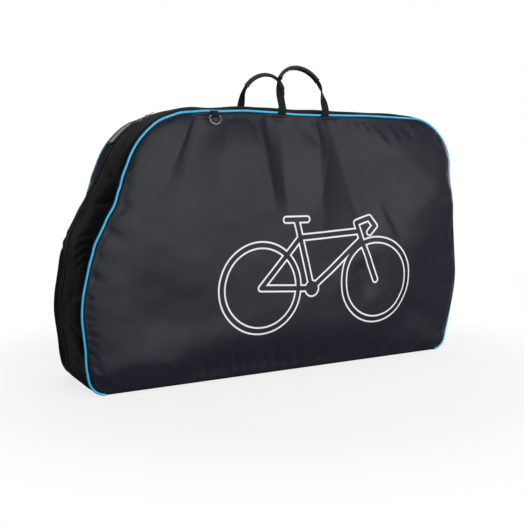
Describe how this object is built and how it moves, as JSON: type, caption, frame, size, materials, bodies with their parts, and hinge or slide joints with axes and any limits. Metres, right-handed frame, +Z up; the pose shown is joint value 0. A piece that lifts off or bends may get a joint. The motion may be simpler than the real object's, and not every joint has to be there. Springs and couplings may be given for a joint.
{
  "type": "soft bike travel bag",
  "caption": "Soft padded bag for carrying a bicycle, with a zipped front that opens down, contrast piping and carrying handles.",
  "frame": {"origin": "middle of the base's underside, where the bag stands", "axes": "+Z up, +X along the bag's length to the right seen from the front, -Y out of the front panel"},
  "size_m": [1.3122, 0.3186, 0.912],
  "materials": {
    "panel_fabric": "coated woven polyester, dark grey",
    "gusset_fabric": "coated woven polyester, black",
    "base_fabric": "coated tarpaulin, black",
    "piping": "extruded vinyl cord, sky blue",
    "webbing": "woven webbing, black",
    "grip": "stitched sleeve, black",
    "foam": "closed-cell foam",
    "board": "polyethylene sheet",
    "lining": "light woven polyester",
    "zip_tape": "woven tape",
    "zip_teeth": "moulded nylon coil",
    "nickel": "nickel plated",
    "card": "plain card",
    "clear_sheet": "clear vinyl sheet",
    "card_frame": "vinyl, black"
  },
  "bodies": {
    "shell": {"back_panel": "panel_fabric", "back_foam_pad": "foam", "back_piping": "piping", "back_gusset": "gusset_fabric", "back_zip_tape": "zip_tape", "back_zip_teeth": "zip_teeth", "back_wheel_pocket": "lining", "back_handle_left_end": "webbing", "back_handle_right_end": "webbing", "back_ring_tab": "webbing", "base_panel": "base_fabric", "base_board": "board", "base_foam_pad": "foam", "left_base_corner": "base_fabric", "right_base_corner": "base_fabric", "left_frame_strap": "webbing", "right_frame_strap": "webbing", "left_zip_stop": "zip_teeth", "right_zip_stop": "zip_teeth", "address_card": "card", "card_window": "clear_sheet", "card_frame": "card_frame"},
    "front_flap": {"front_panel": "panel_fabric", "front_foam_pad": "foam", "front_piping": "piping", "front_gusset": "gusset_fabric", "front_zip_tape": "zip_tape", "front_zip_teeth": "zip_teeth", "front_wheel_pocket": "lining", "front_handle_left_end": "webbing", "front_handle_right_end": "webbing", "front_ring_tab": "webbing"},
    "front_handle": {"front_handle_strap": "webbing", "front_handle_grip": "grip"},
    "back_handle": {"back_handle_strap": "webbing", "back_handle_grip": "grip"},
    "front_ring": {"front_d_ring": "nickel"},
    "back_ring": {"back_d_ring": "nickel"},
    "left_slider": {"left_slider": "nickel"},
    "left_puller": {"left_puller": "nickel"},
    "right_slider": {"right_slider": "nickel"},
    "right_puller": {"right_puller": "nickel"}
  },
  "joints": [
    {"name": "flap_open", "type": "hinge", "parent": "shell", "child": "front_flap", "pos_m": [0, -0.1313, 0.0033], "axis": [1, 0, 0], "range_deg": [0, 78]},
    {"name": "front_handle_swing", "type": "hinge", "parent": "front_flap", "child": "front_handle", "pos_m": [0.033, -0.1359, 0.7757], "axis": [1, 0, 0], "range_deg": [-45, 182]},
    {"name": "back_handle_swing", "type": "hinge", "parent": "shell", "child": "back_handle", "pos_m": [0.033, 0.1359, 0.7757], "axis": [-1, 0, 0], "range_deg": [-45, 182]},
    {"name": "front_ring_swing", "type": "hinge", "parent": "front_flap", "child": "front_ring", "pos_m": [-0.26197, -0.1381, 0.75], "axis": [-1, 0, 0], "range_deg": [0, 150]},
    {"name": "back_ring_swing", "type": "hinge", "parent": "shell", "child": "back_ring", "pos_m": [0.32797, 0.13811, 0.75], "axis": [1, 0, 0], "range_deg": [0, 150]},
    {"name": "left_slider_run", "type": "hinge", "parent": "shell", "child": "left_slider", "pos_m": [-0.28507, 0.03, 0.52], "axis": [0, -1, 0], "range_deg": [0, 32]},
    {"name": "left_puller_swing", "type": "hinge", "parent": "left_slider", "child": "left_puller", "pos_m": [-0.41794, 0.03, 0.74557], "axis": [0, 1, 0], "range_deg": [0, 110]},
    {"name": "right_slider_run", "type": "hinge", "parent": "shell", "child": "right_slider", "pos_m": [-0.28507, 0.03, 0.52], "axis": [0, 1, 0], "range_deg": [0, 23]},
    {"name": "right_puller_swing", "type": "hinge", "parent": "right_slider", "child": "right_puller", "pos_m": [-0.39901, 0.03, 0.7557], "axis": [0, -1, 0], "range_deg": [0, 110]}
  ]
}
